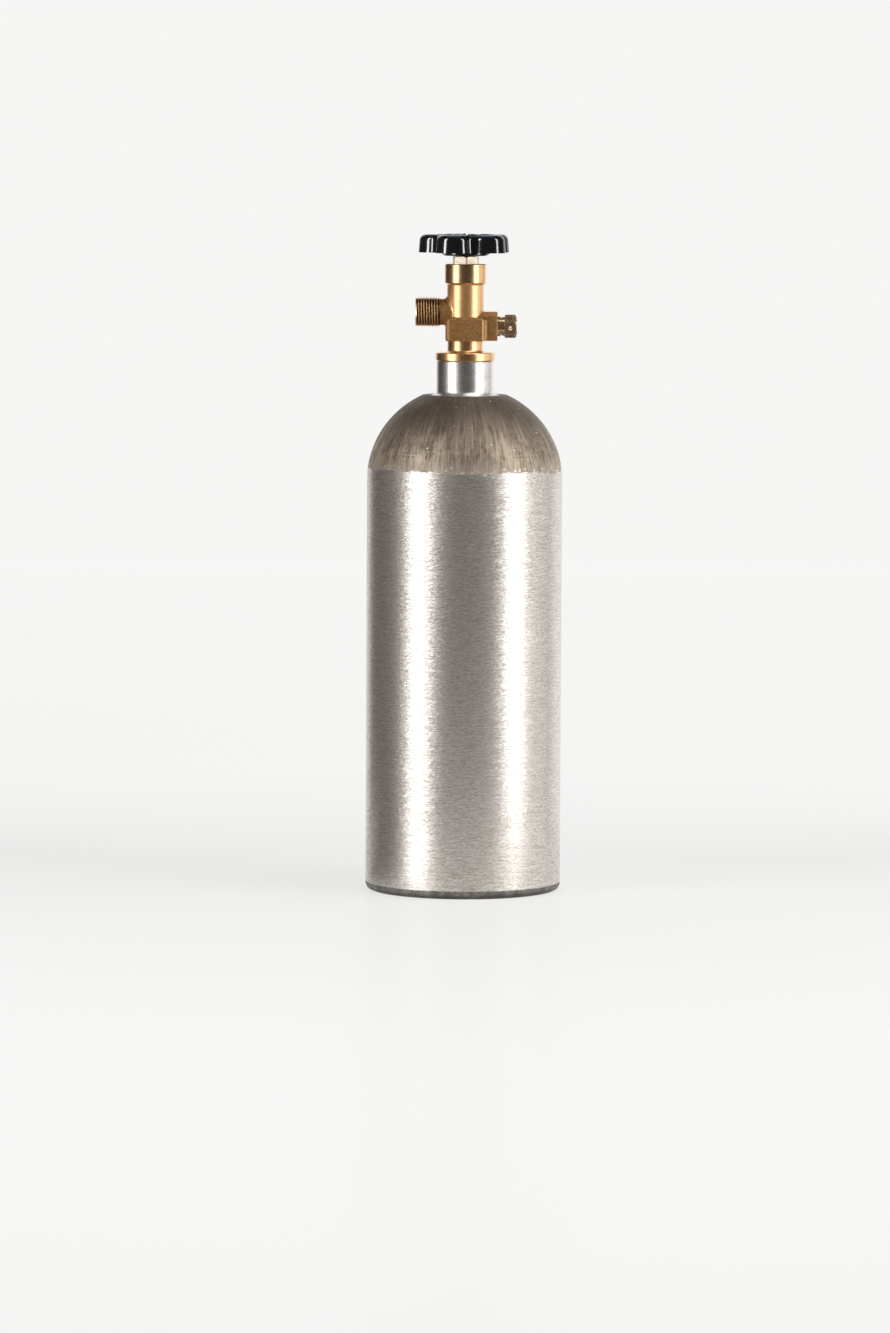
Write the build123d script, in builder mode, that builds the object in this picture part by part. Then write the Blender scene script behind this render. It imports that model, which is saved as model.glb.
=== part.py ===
from build123d import *
import os
from math import cos, sin, radians, sqrt, tan, pi

os.makedirs("parts", exist_ok=True)

# Aluminium CO2 cylinder with a brass handwheel valve. Millimetres.
# Origin: centre of the base ring, on the surface it stands on. +Z up, the outlet points to -X,
# the burst-disc safety plug to +X.

# ---------------------------------------------------------------- driving dimensions
# cylinder
shell_r = 66.675          # 5.25 in outside diameter
shell_wall = 6.4
shell_inner_r = shell_r - shell_wall
dome_z = 281.0            # top of the straight wall
dome_h = 64.1             # outer dome is half an ellipse
dome_inner_h = 54.0
shoulder_z = 338.8        # flat faced around the neck
neck_r = 19.55
neck_top = 362.2
neck_thread_r = 14.29     # 1.125-12 UNF
neck_thread_pitch = 25.4 / 12
gland_r = 17.3            # O-ring seat in the mouth
gland_depth = 2.9
floor_z = 12.0
recess_r = 45.0
recess_h = 3.0

# valve body, heights from the base
flange_r = 20.3
flange_top = 367.8
lower_neck_r = 12.2
block_z0 = 375.6
block_z1 = 390.2
block_top = 391.9
block_y = 13.8
upper_r = 12.65
collar_z0 = 413.6
collar_r = 14.3
collar_top = 428.0
shank_bottom = 338.0

# outlet, 0.825-14 NGO external thread
outlet_z = 395.2
outlet_r = 20.955 / 2
outlet_pitch = 25.4 / 14
outlet_end = 34.0
outlet_thread_start = 17.2
outlet_neck_r = 8.9
outlet_bore_r = 3.5

# safety boss
boss_z = 385.65
boss_hy = 9.5
boss_hz = 9.75
boss_end = 21.9
boss_cut = 3.0
safety_bore_r = 5.55
safety_floor = 11.5

# seat, plug and stem
seat_z = 391.0
chamber_floor = 389.8
chamber_r = 6.4
plug_r = 7.0              # M14 x 1.5, runs in the body
plug_bore_r = 7.06
plug_z0 = 400.0
plug_z1 = 410.0
plug_lift = 3.75
seal_bore_r = 7.6
seal_z0 = 413.9
gland_thread_r = 8.0      # M16 x 1.5
gland_z0 = 421.03
stem_r = 3.4
stem_top = 448.7
square_af = 5.5
square_z0 = 432.95
square_z1 = 442.5

# gland nut
nut_af = 17.0
nut_top = 432.9

# handwheel, five lobes
lobe_r = 12.4
lobe_at = 19.9
flute_r = 5.5
lobe_start = -42.0
wheel_z0 = 435.7
wheel_h = 12.3
wheel_draft = 4.5
wheel_wall = 3.0
hub_r = 16.4
hub_z0 = 433.6
insert_z0 = 433.0
insert_z1 = 438.2
insert_r = 7.0
pocket_r = 7.9


def ring_thread(start, end, major, pitch, chamfer_end=0.0):
    """Outline of a 60 degree thread drawn as rings: points (axial, radius) from start to end."""
    h = 0.6134 * pitch
    crest = pitch / 8
    root = pitch / 4
    flank = (pitch - crest - root) / 2
    pts = [(start, major - h)]
    a = start + root / 2
    while a + 2 * flank + crest + root / 2 <= end + 1e-6:
        top = major
        if chamfer_end and a + flank + crest > end - chamfer_end:
            top = major - (a + flank + crest - (end - chamfer_end)) * 0.6
        pts += [
            (a, major - h),
            (a + flank * (top - major + h) / h, top),
            (a + 2 * flank + crest - flank * (top - major + h) / h, top),
            (a + 2 * flank + crest, major - h),
        ]
        a += pitch
    pts.append((end, major - h))
    return pts


# ---------------------------------------------------------------- cylinder shell
cut_r = shell_r * sqrt(1 - ((shoulder_z - dome_z) / dome_h) ** 2)
inner_top_r = neck_thread_r + 0.06
inner_top_z = dome_z + dome_inner_h * sqrt(1 - (inner_top_r / shell_inner_r) ** 2)
mouth_z = neck_top - gland_depth


def ellipse_points(a, b, r_end, n):
    """Points on a quarter ellipse from its widest point up to radius r_end, about height dome_z."""
    import math
    t_end = math.acos(r_end / a)
    return [
        (a * math.cos(t_end * i / n), dome_z + b * math.sin(t_end * i / n))
        for i in range(n + 1)
    ]


with BuildPart() as cylinder_shell:
    with BuildSketch(Plane.XZ) as shell_profile:
        with BuildLine() as shell_line:
            # underside: shallow hollow, then the ring it stands on
            ThreePointArc((0, recess_h), (recess_r * 0.52, recess_h * 0.74), (recess_r, 0))
            Line((recess_r, 0), (63.3, 0))
            ThreePointArc((63.3, 0), (65.85, 1.85), (shell_r, 4.8))
            Line((shell_r, 4.8), (shell_r, dome_z))
            outer = ellipse_points(shell_r, dome_h, cut_r, 10)
            Spline(*outer, tangents=((0, 1), (-60.13, 27.69)))
            Line(outer[-1], (neck_r + 3.6, shoulder_z))
            ThreePointArc(
                (neck_r + 3.6, shoulder_z),
                (neck_r + 1.05, shoulder_z + 1.05),
                (neck_r, shoulder_z + 3.6),
            )
            Line((neck_r, shoulder_z + 3.6), (neck_r, neck_top - 0.75))
            Line((neck_r, neck_top - 0.75), (neck_r - 0.75, neck_top))
            Line((neck_r - 0.75, neck_top), (gland_r, neck_top))
            Line((gland_r, neck_top), (gland_r, mouth_z))
            Line((gland_r, mouth_z), (inner_top_r + 0.8, mouth_z))
            Line((inner_top_r + 0.8, mouth_z), (inner_top_r, mouth_z - 0.8))
            inner = ellipse_points(shell_inner_r, dome_inner_h, inner_top_r, 10)
            Line((inner_top_r, mouth_z - 0.8), inner[-1])
            Spline(*inner[::-1], tangents=((1, -0.2179), (0, -1)))
            Line((shell_inner_r, dome_z), (shell_inner_r, floor_z + 14))
            RadiusArc((shell_inner_r, floor_z + 14), (shell_inner_r - 14, floor_z), 14)
            Line((shell_inner_r - 14, floor_z), (0, floor_z))
            Line((0, floor_z), (0, recess_h))
        make_face()
    revolve(axis=Axis.Z)
cylinder_shell.part.label = "cylinder_shell"
export_step(cylinder_shell.part, "parts/cylinder_shell.step")

# ---------------------------------------------------------------- neck O-ring, squeezed in its seat
with BuildPart() as neck_o_ring:
    with BuildSketch(Plane.XZ) as o_ring_section:
        with Locations((15.65, mouth_z + gland_depth / 2)):
            RectangleRounded(3.2, 2.84, 1.3)
    revolve(axis=Axis.Z)
neck_o_ring.part.label = "neck_o_ring"
export_step(neck_o_ring.part, "parts/neck_o_ring.step")

# ---------------------------------------------------------------- valve body
outlet_plane = Plane(origin=(0, 0, outlet_z), x_dir=(-1, 0, 0), z_dir=(0, 1, 0))
outlet_axis = Axis((0, 0, outlet_z), (-1, 0, 0))
boss_plane = Plane(origin=(0, 0, boss_z), x_dir=(1, 0, 0), z_dir=(0, -1, 0))
boss_axis = Axis((0, 0, boss_z), (1, 0, 0))

# forged middle of the body: wrench-flat block and safety boss, joined to the turned body below
with BuildPart() as valve_block:
    # wrench-flat block with forged corners, bevelled above and below
    with BuildSketch(Plane.XY.offset(block_z0 + 0.9)) as block_plan:
        with BuildLine() as block_outline:
            Polyline(
                (-13.6, -9.4),
                (-12.4, -12.6),
                (-10.9, -block_y),
                (12.3, -block_y),
                (12.3, -boss_hy),
                (19.0, -boss_hy),
                (19.0, boss_hy),
                (12.3, boss_hy),
                (12.3, block_y),
                (-10.9, block_y),
                (-12.4, 12.6),
                (-13.6, 9.4),
                (-13.6, -9.4),
            )
        make_face()
        inner_corners = [
            v for v in block_plan.vertices() if abs(v.X - 12.3) < 0.01 and abs(abs(v.Y) - boss_hy) < 0.01
        ]
        fillet(inner_corners, radius=3.2)
        outer_corners = [
            v for v in block_plan.vertices() if abs(v.X - 12.3) < 0.01 and abs(abs(v.Y) - block_y) < 0.01
        ]
        fillet(outer_corners, radius=0.8)
    extrude(amount=block_z1 - block_z0 - 0.9)
    with BuildSketch(Plane.XY.offset(block_z1)) as block_bevel:
        with BuildLine():
            Polyline(
                (-13.6, -9.4),
                (-12.4, -12.6),
                (-10.9, -block_y),
                (12.3, -block_y),
                (12.3, block_y),
                (-10.9, block_y),
                (-12.4, 12.6),
                (-13.6, 9.4),
                (-13.6, -9.4),
            )
        make_face()
    extrude(amount=block_top - block_z1, taper=40)
    with BuildSketch(Plane.XY.offset(block_z0 + 0.9)) as block_bevel_low:
        with BuildLine():
            Polyline(
                (-13.6, -9.4),
                (-12.4, -12.6),
                (-10.9, -block_y),
                (12.3, -block_y),
                (12.3, block_y),
                (-10.9, block_y),
                (-12.4, 12.6),
                (-13.6, 9.4),
                (-13.6, -9.4),
            )
        make_face()
    extrude(amount=-0.9, taper=40)

    # safety boss: rectangle with cut corners
    with BuildSketch(Plane.YZ) as boss_section:
        with Locations((0, boss_z)):
            boss_rect = Rectangle(2 * boss_hy, 2 * boss_hz)
        chamfer(boss_section.vertices(), length=boss_cut)
    extrude(amount=boss_end - 0.5)
    with BuildSketch(Plane.YZ.offset(boss_end - 0.5)) as boss_tip:
        with Locations((0, boss_z)):
            Rectangle(2 * boss_hy, 2 * boss_hz)
        chamfer(boss_tip.vertices(), length=boss_cut)
    extrude(amount=0.5, taper=45)

with BuildPart() as valve_body:
    # turned body: threaded shank, flange, lower neck, upper cylinder, collar
    with BuildSketch(Plane.XZ) as body_profile:
        with BuildLine() as body_line:
            shank = ring_thread(shank_bottom + 1.6, neck_top - 3.6, neck_thread_r, neck_thread_pitch)
            Polyline(
                (0, shank_bottom),
                (neck_thread_r - 2.2, shank_bottom),
                (neck_thread_r - 1.3, shank_bottom + 1.6),
                *[(r, z) for z, r in shank[1:-1]],
                (neck_thread_r - 1.3, neck_top - 3.6),
                (neck_thread_r - 0.35, neck_top - 3.2),
                (neck_thread_r - 0.35, neck_top),
                (flange_r - 0.5, neck_top),
                (flange_r, neck_top + 0.5),
                (flange_r, flange_top - 0.5),
                (flange_r - 0.5, flange_top),
                (lower_neck_r + 2.4, flange_top),
            )
            RadiusArc((lower_neck_r + 2.4, flange_top), (lower_neck_r, flange_top + 2.4), 2.4)
            Polyline(
                (lower_neck_r, flange_top + 2.4),
                (lower_neck_r, block_z0 + 3),
                (upper_r, block_z0 + 6),
                (upper_r, collar_z0),
                (collar_r, collar_z0 + 1.65),
                (collar_r, collar_top - 0.5),
                (collar_r - 0.5, collar_top),
                (0, collar_top),
                (0, shank_bottom),
            )
        make_face()
    revolve(axis=Axis.Z)

    # outlet neck, blended into the upper cylinder
    with BuildSketch(Plane.YZ) as outlet_neck_sketch:
        with Locations((0, outlet_z)):
            Circle(outlet_neck_r)
    extrude(amount=-(outlet_thread_start + 0.6))
    saddle = [
        e
        for e in valve_body.edges()
        if e.bounding_box().max.Z < outlet_z + outlet_neck_r + 0.5
        and e.bounding_box().min.Z > outlet_z - outlet_neck_r - 0.5
        and e.center(CenterOf.BOUNDING_BOX).X > -12.7
        and e.center(CenterOf.BOUNDING_BOX).X < -7
    ]
    fillet(saddle, radius=2.7)
    add(valve_block.part)


    # outlet thread
    with BuildSketch(outlet_plane) as outlet_profile:
        with BuildLine():
            rings = ring_thread(outlet_thread_start, outlet_end, outlet_r, outlet_pitch, 1.6)
            Polyline(
                (outlet_thread_start, 0),
                *rings,
                (outlet_end, 0),
                (outlet_thread_start, 0),
            )
        make_face()
    revolve(axis=outlet_axis)

    # passages and cavities, top to bottom
    with BuildSketch(Plane.XZ) as cavity_profile:
        with BuildLine():
            Polyline(
                (0, collar_top + 1),
                (gland_thread_r + 0.65, collar_top + 1),
                (gland_thread_r + 0.65, collar_top),
                (gland_thread_r + 0.05, collar_top - 0.6),
                (gland_thread_r + 0.05, gland_z0),
                (seal_bore_r, gland_z0 - 0.03),
                (seal_bore_r, seal_z0),
                (plug_bore_r, seal_z0 - 0.5),
                (plug_bore_r, 399.7),
                (chamber_r, 399.2),
                (chamber_r, chamber_floor),
                (4.0, chamber_floor),
                (3.6, seat_z),
                (2.5, seat_z),
                (2.5, seat_z - 1.5),
                (2.9, seat_z - 2.2),
                (2.9, shank_bottom + 3),
                (4.2, shank_bottom),
                (4.2, shank_bottom - 1),
                (0, shank_bottom - 1),
                (0, collar_top + 1),
            )
        make_face()
    revolve(axis=Axis.Z, mode=Mode.SUBTRACT)
    with BuildSketch(outlet_plane) as outlet_bore:
        with BuildLine():
            Polyline(
                (4.5, 0),
                (4.5, outlet_bore_r),
                (outlet_end - 0.8, outlet_bore_r),
                (outlet_end, outlet_bore_r + 0.8),
                (outlet_end + 1, outlet_bore_r + 0.8),
                (outlet_end + 1, 0),
                (4.5, 0),
            )
        make_face()
    revolve(axis=outlet_axis, mode=Mode.SUBTRACT)
    with BuildSketch(boss_plane) as safety_bore:
        with BuildLine():
            Polyline(
                (1.0, 0),
                (1.0, 2.0),
                (safety_floor, 2.0),
                (safety_floor, safety_bore_r),
                (boss_end - 0.5, safety_bore_r),
                (boss_end, safety_bore_r + 0.5),
                (boss_end + 1, safety_bore_r + 0.5),
                (boss_end + 1, 0),
                (1.0, 0),
            )
        make_face()
    revolve(axis=boss_axis, mode=Mode.SUBTRACT)
valve_body.part.label = "valve_body"
export_step(valve_body.part, "parts/valve_body.step")

# ---------------------------------------------------------------- seat plug: carries the soft seat, screws up to open
with BuildPart() as seat_plug:
    with BuildSketch(Plane.XZ) as plug_profile:
        with BuildLine():
            Polyline(
                (0, 393.6),
                (4.4, 393.6),
                (4.4, 392.2),
                (5.0, 391.7),
                (5.8, 392.4),
                (5.8, plug_z0 - 0.6),
                (6.2, plug_z0),
                (plug_r - 0.5, plug_z0),
                (plug_r, plug_z0 + 0.5),
                (plug_r, plug_z1 - 0.5),
                (plug_r - 0.5, plug_z1),
                (0, plug_z1),
                (0, 393.6),
            )
        make_face()
    revolve(axis=Axis.Z)
    # slot for the stem's blade
    with BuildSketch(Plane.XY.offset(401.5)) as plug_slot:
        Rectangle(16, 2.6)
    extrude(amount=9, mode=Mode.SUBTRACT)
seat_plug.part.label = "seat_plug"
export_step(seat_plug.part, "parts/seat_plug.step")

with BuildPart() as seat_disc:
    with BuildSketch(Plane.XY.offset(seat_z + 0.02)) as disc_sketch:
        Circle(4.35)
    extrude(amount=393.6 - seat_z - 0.02)
    chamfer(seat_disc.faces().sort_by(Axis.Z)[0].edges(), length=0.25)
seat_disc.part.label = "seat_disc"
export_step(seat_disc.part, "parts/seat_disc.step")

# ---------------------------------------------------------------- valve stem
with BuildPart() as valve_stem:
    with BuildSketch(Plane.XZ) as stem_profile:
        stud = ring_thread(square_z1 + 0.4, stem_top - 0.6, 2.48, 0.8)
        with BuildLine():
            Polyline(
                (0, seal_z0 + 0.7),
                (7.1, seal_z0 + 0.7),
                (7.4, seal_z0 + 1.0),
                (7.4, 415.8),
                (5.7, 415.8),
                (5.7, 418.9),
                (7.4, 418.9),
                (7.4, 419.6),
                (7.1, 419.9),
                (stem_r, 419.9),
                (stem_r, square_z1 - 0.3),
                (stem_r - 0.3, square_z1),
                (2.0, square_z1),
                (2.0, square_z1 + 0.4),
                *[(r, z) for z, r in stud[1:-1]],
                (1.99, stem_top - 0.6),
                (1.5, stem_top),
                (0, stem_top),
                (0, seal_z0 + 0.7),
            )
        make_face()
    revolve(axis=Axis.Z)
    # blade that turns the plug
    with BuildSketch(Plane.XY.offset(406.0)) as blade_sketch:
        RectangleRounded(11.0, 2.5, 0.3)
    extrude(amount=seal_z0 + 1.0 - 406.0)
    # square for the handwheel
    with BuildSketch(Plane.XY.offset(square_z0)) as square_cut:
        Rectangle(12, 12)
        Rectangle(square_af, square_af, rotation=45, mode=Mode.SUBTRACT)
    extrude(amount=square_z1 - square_z0, mode=Mode.SUBTRACT)
valve_stem.part.label = "valve_stem"
export_step(valve_stem.part, "parts/valve_stem.step")

with BuildPart() as stem_o_ring:
    with BuildSketch(Plane.XZ) as stem_o_section:
        with Locations((6.65, 416.8)):
            Circle(0.93)
    revolve(axis=Axis.Z)
stem_o_ring.part.label = "stem_o_ring"
export_step(stem_o_ring.part, "parts/stem_o_ring.step")

with BuildPart() as stem_backup_ring:
    with BuildSketch(Plane.XY.offset(417.85)) as backup_sketch:
        Circle(7.55)
        Circle(5.75, mode=Mode.SUBTRACT)
    extrude(amount=1.0)
stem_backup_ring.part.label = "stem_backup_ring"
export_step(stem_backup_ring.part, "parts/stem_backup_ring.step")

with BuildPart() as stem_thrust_washer:
    with BuildSketch(Plane.XY.offset(419.9)) as thrust_sketch:
        Circle(7.4)
        Circle(3.45, mode=Mode.SUBTRACT)
    extrude(amount=1.1)
stem_thrust_washer.part.label = "stem_thrust_washer"
export_step(stem_thrust_washer.part, "parts/stem_thrust_washer.step")

# ---------------------------------------------------------------- gland nut
with BuildPart() as gland_nut:
    with BuildSketch(Plane.XY.offset(collar_top)) as nut_hex:
        RegularPolygon(nut_af / 2, 6, major_radius=False, rotation=-86)
    extrude(amount=nut_top - collar_top)
    # cone that rounds the corners of the hexagon at the top
    with BuildSketch(Plane.XZ) as nut_corner_cut:
        with BuildLine():
            Polyline(
                (8.6, nut_top + 0.1),
                (11.0, nut_top + 0.1),
                (11.0, nut_top - 1.29),
                (8.6, nut_top + 0.1),
            )
        make_face()
    revolve(axis=Axis.Z, mode=Mode.SUBTRACT)
    with BuildSketch(Plane.XZ) as nut_shank:
        with BuildLine():
            turns = ring_thread(gland_z0 + 0.5, collar_top - 0.4, gland_thread_r, 1.5)
            Polyline(
                (0, gland_z0),
                (6.6, gland_z0),
                (gland_thread_r - 0.92, gland_z0 + 0.5),
                *[(r, z) for z, r in turns[1:-1]],
                (gland_thread_r - 0.92, collar_top - 0.4),
                (gland_thread_r - 0.92, collar_top + 0.5),
                (0, collar_top + 0.5),
                (0, gland_z0),
            )
        make_face()
    revolve(axis=Axis.Z)
    with BuildSketch(Plane.XZ) as nut_bore:
        with BuildLine():
            Polyline(
                (0, gland_z0 - 1),
                (stem_r + 0.06, gland_z0 - 1),
                (stem_r + 0.06, nut_top - 0.5),
                (stem_r + 0.56, nut_top),
                (stem_r + 0.56, nut_top + 1),
                (0, nut_top + 1),
                (0, gland_z0 - 1),
            )
        make_face()
    revolve(axis=Axis.Z, mode=Mode.SUBTRACT)
gland_nut.part.label = "gland_nut"
export_step(gland_nut.part, "parts/gland_nut.step")

# ---------------------------------------------------------------- handwheel
draft_in = wheel_h * tan(radians(wheel_draft))
wheel_top = wheel_z0 + wheel_h


def lobed_outline(sketch, shrink):
    """Five lobes joined by flutes, drawn in from the outside by shrink."""
    with PolarLocations(lobe_at, 5, start_angle=lobe_start):
        Circle(lobe_r - shrink)
    Circle(18.0)
    notches = [v for v in sketch.vertices() if 18.3 < sqrt(v.X**2 + v.Y**2) < 25.0]
    fillet(notches, radius=flute_r + shrink)


with BuildPart() as handwheel:
    with BuildSketch(Plane.XY.offset(wheel_z0)) as wheel_outline:
        lobed_outline(wheel_outline, 0)
    extrude(amount=wheel_h, taper=wheel_draft)
    fillet(handwheel.faces().sort_by(Axis.Z)[-1].edges(), radius=4.2)
    # dished top: shallow ring-shaped hollow around the hub
    with BuildSketch(Plane.XZ) as dish_section:
        with BuildLine():
            Polyline(
                (10.2, wheel_top + 1),
                (10.2, wheel_top - 0.6),
                (11.2, wheel_top - 1.6),
                (18.8, wheel_top - 1.6),
                (20.8, wheel_top + 0.05),
                (20.8, wheel_top + 1),
                (10.2, wheel_top + 1),
            )
        make_face()
    revolve(axis=Axis.Z, mode=Mode.SUBTRACT)
    # hollow underside inside the rim
    with BuildSketch(Plane.XY.offset(wheel_z0 - 0.5)) as wheel_hollow:
        lobed_outline(wheel_hollow, wheel_wall)
    extrude(amount=wheel_h - 4.6, taper=wheel_draft, mode=Mode.SUBTRACT)
    # hub with a skirt that reaches below the rim
    with BuildSketch(Plane.XZ) as hub_section:
        with BuildLine():
            Polyline(
                (0, hub_z0 + 1.2),
                (10.5, hub_z0 + 1.2),
                (11.3, hub_z0),
                (hub_r - 1.4, hub_z0),
                (hub_r, hub_z0 + 1.2),
                (hub_r, wheel_top - 3.0),
                (0, wheel_top - 3.0),
                (0, hub_z0 + 1.2),
            )
        make_face()
    revolve(axis=Axis.Z)
    # ribs between hub and rim, one to each lobe and one to each flute
    with BuildSketch(Plane.XY.offset(wheel_z0 + 1.0)) as rib_sketch:
        with PolarLocations(0, 5, start_angle=lobe_start):
            with Locations((22.6, 0)):
                Rectangle(14.4, 1.8)
        with PolarLocations(0, 5, start_angle=lobe_start + 36):
            with Locations((18.6, 0)):
                Rectangle(6.4, 1.8)
    extrude(amount=wheel_h - 4.0)
    # bore for the metal insert, pocket for spring, washer and lock nut
    with BuildSketch(Plane.XY.offset(hub_z0)) as insert_bore:
        Circle(insert_r)
    extrude(amount=10, mode=Mode.SUBTRACT)
    with BuildSketch(Plane.XY.offset(insert_z1)) as nut_pocket:
        Circle(pocket_r)
    extrude(amount=12, mode=Mode.SUBTRACT)
handwheel.part.label = "handwheel"
export_step(handwheel.part, "parts/handwheel.step")

with BuildPart() as handwheel_insert:
    with BuildSketch(Plane.XY.offset(insert_z0)) as insert_sketch:
        Circle(insert_r)
        Rectangle(square_af + 0.1, square_af + 0.1, rotation=45, mode=Mode.SUBTRACT)
    extrude(amount=insert_z1 - insert_z0)
    chamfer(
        handwheel_insert.faces().sort_by(Axis.Z)[0].edges().filter_by(GeomType.CIRCLE), length=0.4
    )
    # grooves that key it in the plastic
    with BuildSketch(Plane.XZ) as key_groove:
        with Locations((insert_r, 436.4)):
            Rectangle(0.8, 0.9)
    revolve(axis=Axis.Z, mode=Mode.SUBTRACT)
handwheel_insert.part.label = "handwheel_insert"
export_step(handwheel_insert.part, "parts/handwheel_insert.step")

# spring that pulls the stem up against its packing
spring_wire = 0.4
spring_r = 5.5
spring_low = insert_z1 + spring_wire + 0.01
spring_high = square_z1 - spring_wire - 0.01
with BuildPart() as handwheel_spring:
    with BuildLine() as spring_path:
        Helix(pitch=(spring_high - spring_low) / 3.0, height=spring_high - spring_low, radius=spring_r, center=(0, 0, spring_low))
    with BuildSketch(Plane(origin=spring_path.line @ 0, z_dir=spring_path.line % 0)) as wire_section:
        Circle(spring_wire)
    sweep(path=spring_path.line, is_frenet=True)
handwheel_spring.part.label = "handwheel_spring"
export_step(handwheel_spring.part, "parts/handwheel_spring.step")

with BuildPart() as spring_washer_plate:
    with BuildSketch(Plane.XY.offset(square_z1)) as washer_sketch:
        Circle(7.2)
        Circle(2.6, mode=Mode.SUBTRACT)
    extrude(amount=0.8)
    chamfer(spring_washer_plate.edges().filter_by(GeomType.CIRCLE).sort_by(Axis.Z)[-1:], length=0.2)
spring_washer_plate.part.label = "spring_retainer_washer"
export_step(spring_washer_plate.part, "parts/spring_retainer_washer.step")

lock_z0 = square_z1 + 0.8
lock_hex_top = lock_z0 + 3.1
lock_top = lock_z0 + 4.9
with BuildPart() as handwheel_locknut:
    with BuildSketch(Plane.XY.offset(lock_z0)) as lock_hex:
        RegularPolygon(4.0, 6, major_radius=False, rotation=12)
    extrude(amount=lock_hex_top - lock_z0)
    with BuildSketch(Plane.XZ) as lock_corner:
        with BuildLine():
            Polyline(
                (3.95, lock_hex_top + 0.1),
                (5.2, lock_hex_top + 0.1),
                (5.2, lock_hex_top - 0.62),
                (3.95, lock_hex_top + 0.1),
            )
        make_face()
    revolve(axis=Axis.Z, mode=Mode.SUBTRACT)
    with BuildSketch(Plane.XZ) as lock_crown:
        with BuildLine():
            Polyline(
                (0, lock_hex_top - 0.5),
                (3.9, lock_hex_top - 0.5),
                (3.9, lock_top - 0.7),
                (3.2, lock_top),
                (0, lock_top),
                (0, lock_hex_top - 0.5),
            )
        make_face()
    revolve(axis=Axis.Z)
    with BuildSketch(Plane.XZ) as lock_bore:
        with BuildLine():
            Polyline(
                (0, lock_z0 - 1),
                (3.0, lock_z0 - 1),
                (3.0, lock_z0),
                (2.55, lock_z0 + 0.45),
                (2.55, lock_hex_top + 0.1),
                (3.35, lock_hex_top + 0.1),
                (3.35, lock_top - 0.45),
                (2.75, lock_top - 0.45),
                (2.75, lock_top + 1),
                (0, lock_top + 1),
                (0, lock_z0 - 1),
            )
        make_face()
    revolve(axis=Axis.Z, mode=Mode.SUBTRACT)
handwheel_locknut.part.label = "handwheel_locknut"
export_step(handwheel_locknut.part, "parts/handwheel_locknut.step")

with BuildPart() as locknut_nylon_ring:
    with BuildSketch(Plane.XY.offset(lock_hex_top + 0.12)) as nylon_sketch:
        Circle(3.33)
        Circle(2.5, mode=Mode.SUBTRACT)
    extrude(amount=lock_top - 0.47 - lock_hex_top - 0.12)
locknut_nylon_ring.part.label = "locknut_nylon_ring"
export_step(locknut_nylon_ring.part, "parts/locknut_nylon_ring.step")

# ---------------------------------------------------------------- safety plug, burst disc and gasket
hex_start = 26.8
hex_end = 35.2
hex_af = 14.0
hex_turn = 20.0           # a corner stands this far above the horizontal on the -Y side
with BuildPart() as safety_plug:
    with BuildSketch(boss_plane) as plug_shank:
        with BuildLine():
            threads = ring_thread(13.4, 21.2, 5.5, 1.27)
            Polyline(
                (12.5, 0),
                (12.5, 4.1),
                (13.4, 4.72),
                *threads[1:-1],
                (21.2, 4.72),
                (boss_end, 4.72),
                (boss_end, 6.9),
                (24.0, 6.9),
                (24.0, 5.8),
                (24.6, 5.8),
                (24.6, 6.6),
                (hex_start, 6.6),
                (hex_start, 0),
                (12.5, 0),
            )
        make_face()
    revolve(axis=boss_axis)
    with BuildSketch(
        Plane(origin=(hex_start - 0.2, 0, boss_z), x_dir=(0, -1, 0), z_dir=(1, 0, 0))
    ) as hex_sketch:
        RegularPolygon(hex_af / 2, 6, major_radius=False, rotation=-hex_turn)
    extrude(amount=hex_end - hex_start + 0.2)
    # turned cones on both ends of the hexagon
    with BuildSketch(boss_plane) as hex_corner_cut:
        with BuildLine():
            Polyline((hex_end + 0.1, 6.3), (hex_end + 0.1, 9.0), (hex_end - 2.2, 9.0), (hex_end + 0.1, 6.3))
        make_face()
        with BuildLine():
            Polyline((hex_start - 0.3, 6.9), (hex_start - 0.3, 9.0), (hex_start + 1.0, 9.0), (hex_start - 0.3, 6.9))
        make_face()
    revolve(axis=boss_axis, mode=Mode.SUBTRACT)
    # axial bore behind the disc, closed at the outer end
    with BuildSketch(boss_plane) as vent_bore:
        with BuildLine():
            Polyline((12.0, 0), (12.0, 2.6), (32.2, 2.6), (33.2, 0), (12.0, 0))
        make_face()
    revolve(axis=boss_axis, mode=Mode.SUBTRACT)
    # six vents, one through each flat
    for k in range(6):
        a = radians(hex_turn + 30 + 60 * k)
        direction = (0, -cos(a), sin(a))
        with BuildSketch(Plane(origin=(30.6, 0, boss_z), z_dir=direction)) as vent:
            Circle(1.45)
        extrude(amount=10, mode=Mode.SUBTRACT)
safety_plug.part.label = "safety_plug"
export_step(safety_plug.part, "parts/safety_plug.step")

with BuildPart() as burst_disc:
    with BuildSketch(boss_plane) as disc_section:
        with BuildLine():
            Polyline(
                (12.3, 5.1),
                (12.3, 2.6),
                (12.9, 1.6),
                (13.15, 0),
                (13.35, 0),
                (13.1, 1.7),
                (12.5, 2.55),
                (12.5, 5.1),
                (12.3, 5.1),
            )
        make_face()
    revolve(axis=boss_axis)
burst_disc.part.label = "burst_disc"
export_step(burst_disc.part, "parts/burst_disc.step")

with BuildPart() as burst_disc_gasket:
    with BuildSketch(Plane.YZ.offset(safety_floor)) as gasket_sketch:
        with Locations((0, boss_z)):
            Circle(5.1)
            Circle(2.6, mode=Mode.SUBTRACT)
    extrude(amount=0.8)
burst_disc_gasket.part.label = "burst_disc_gasket"
export_step(burst_disc_gasket.part, "parts/burst_disc_gasket.step")
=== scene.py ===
import math

import bmesh
import bpy
import numpy as np
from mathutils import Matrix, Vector, noise


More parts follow.
